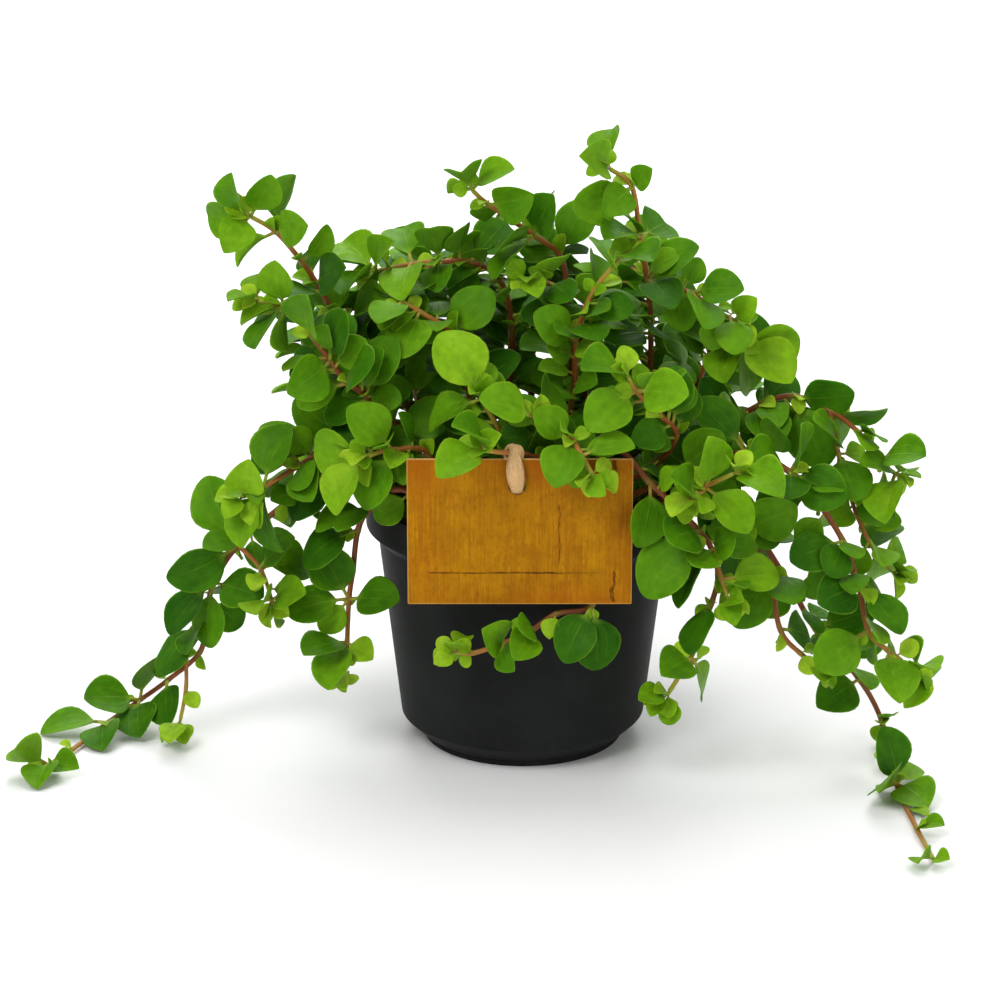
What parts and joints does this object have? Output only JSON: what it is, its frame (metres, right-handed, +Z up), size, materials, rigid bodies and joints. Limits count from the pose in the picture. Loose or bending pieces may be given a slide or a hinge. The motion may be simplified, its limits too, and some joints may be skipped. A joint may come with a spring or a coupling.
{
  "type": "potted peperomia",
  "caption": "Trailing peperomia with round leaves in a black nursery pot, with a flat tag that hangs from a raffia tie in front of the rim.",
  "frame": {"origin": "middle of the pot's foot, on the surface that it stands on", "axes": "+Z up, -Y to the front where the tag hangs, +X to the right seen from the front"},
  "size_m": [0.3482, 0.2537, 0.2386],
  "materials": {
    "pot": "black polypropylene, satin",
    "soil": "damp potting soil",
    "tag": "card printed as orange-brown wood",
    "tag_tie": "natural raffia",
    "leaf": "fleshy green leaves with a soft sheen, on reddish stems"
  },
  "bodies": {
    "root": {"pot": "pot", "soil": "soil", "tag": "tag", "tag_tie": "tag_tie", "stem_top_left": "leaf", "stem_left_shoulder": "leaf", "stem_top_shelf": "leaf", "stem_inner_left": "leaf", "stem_top_centre": "leaf", "stem_top_right": "leaf", "stem_top_inner": "leaf", "stem_right_upper": "leaf", "stem_right_shelf": "leaf", "stem_right_middle": "leaf", "stem_right_low": "leaf", "stem_right_trail": "leaf", "stem_right_face": "leaf", "stem_right_whorl": "leaf", "stem_right_hook": "leaf", "stem_tag_right": "leaf", "stem_tag_centre": "leaf", "stem_tag_left": "leaf", "stem_crown_front": "leaf", "stem_front_small": "leaf", "stem_left_hanging": "leaf", "stem_left_trail": "leaf", "stem_left_upper": "leaf", "stem_left_inner": "leaf", "stem_back_1": "leaf", "stem_back_2": "leaf", "stem_back_3": "leaf", "stem_back_4": "leaf", "stem_back_5": "leaf", "stem_back_6": "leaf", "stem_back_7": "leaf", "stem_back_8": "leaf"}
  },
  "joints": []
}
